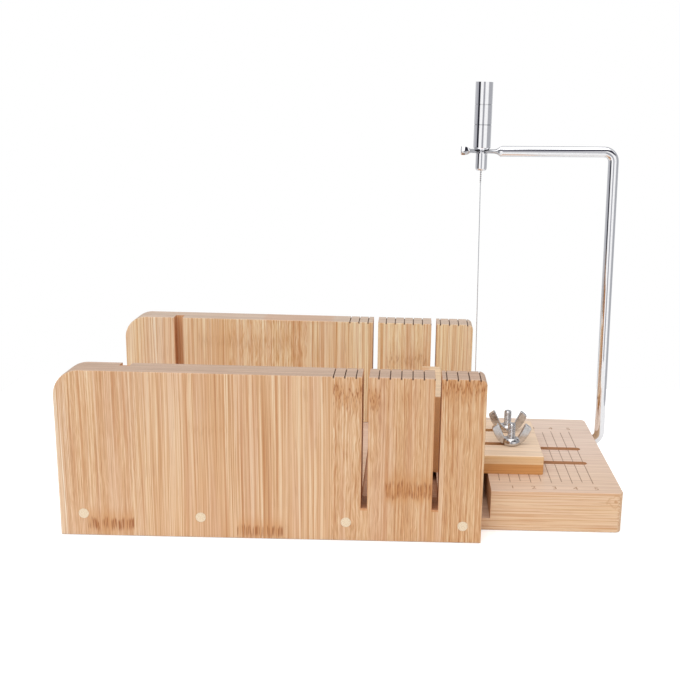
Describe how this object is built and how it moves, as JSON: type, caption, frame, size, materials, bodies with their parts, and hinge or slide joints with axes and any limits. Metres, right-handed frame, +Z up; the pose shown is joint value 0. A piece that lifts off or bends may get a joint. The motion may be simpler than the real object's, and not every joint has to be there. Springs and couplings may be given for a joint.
{
  "type": "soap cutter",
  "caption": "Bamboo loaf box with knife slots, a wire on a hinged steel arm, a ruler and a sliding stop held by wing nuts.",
  "frame": {"origin": "middle of the footprint, on the bench: the bottom centre of the bounding box", "axes": "+X along the loaf box towards the cutter arm, +Y from the front wall to the rear wall, +Z up"},
  "size_m": [0.2672, 0.1274, 0.2074],
  "materials": {
    "bamboo_plank": "sanded and oiled, grain along X",
    "bamboo_wall": "sanded and oiled, strips upright",
    "bamboo_stop": "sanded and oiled, two plies",
    "pale_dowel": "sanded flush, bare wood",
    "zinc_hardware": "zinc plated, satin",
    "chromed_steel": "bright plated",
    "wire_steel": "drawn stainless wire"
  },
  "bodies": {
    "box": {"base_plank": "bamboo_plank", "front_wall": "bamboo_wall", "front_wall_dowels": "pale_dowel", "rear_wall_left": "bamboo_wall", "rear_wall_middle": "bamboo_wall", "rear_wall_right": "bamboo_wall", "rear_wall_screws": "zinc_hardware"},
    "arm": {"cutter_arm": "chromed_steel", "anchor_screw": "chromed_steel", "cutting_wire": "wire_steel"},
    "handle": {"handle_grip": "chromed_steel"},
    "bolts": {"front_clamp_bolt": "zinc_hardware", "rear_clamp_bolt": "zinc_hardware"},
    "stop": {"stop_upright": "bamboo_stop", "stop_foot": "bamboo_stop", "stop_dowels": "pale_dowel"},
    "front_nut": {"front_wing_nut": "zinc_hardware"},
    "rear_nut": {"rear_wing_nut": "zinc_hardware"}
  },
  "joints": [
    {"name": "arm_swing", "type": "hinge", "parent": "box", "child": "arm", "pos_m": [0.095, 0.04325, 0.0145], "axis": [1, 0, 0], "range_deg": [-90, 90], "deforming": ["cutting_wire"]},
    {"name": "handle_turn", "type": "hinge", "parent": "arm", "child": "handle", "pos_m": [0.05828, 0.04325, 0.19], "axis": [0, 0, 1], "continuous": true},
    {"name": "bolts_slide", "type": "slide", "parent": "box", "child": "bolts", "axis": [1, 0, 0], "range_m": [0, 0.037]},
    {"name": "stop_slide", "type": "slide", "parent": "bolts", "child": "stop", "axis": [1, 0, 0], "range_m": [0, 0.025]},
    {"name": "front_nut_turn", "type": "hinge", "parent": "bolts", "child": "front_nut", "pos_m": [0.07568, -0.00895, 0.032], "axis": [0, 0, 1], "continuous": true},
    {"name": "rear_nut_turn", "type": "hinge", "parent": "bolts", "child": "rear_nut", "pos_m": [0.07568, 0.01245, 0.032], "axis": [0, 0, 1], "continuous": true}
  ]
}
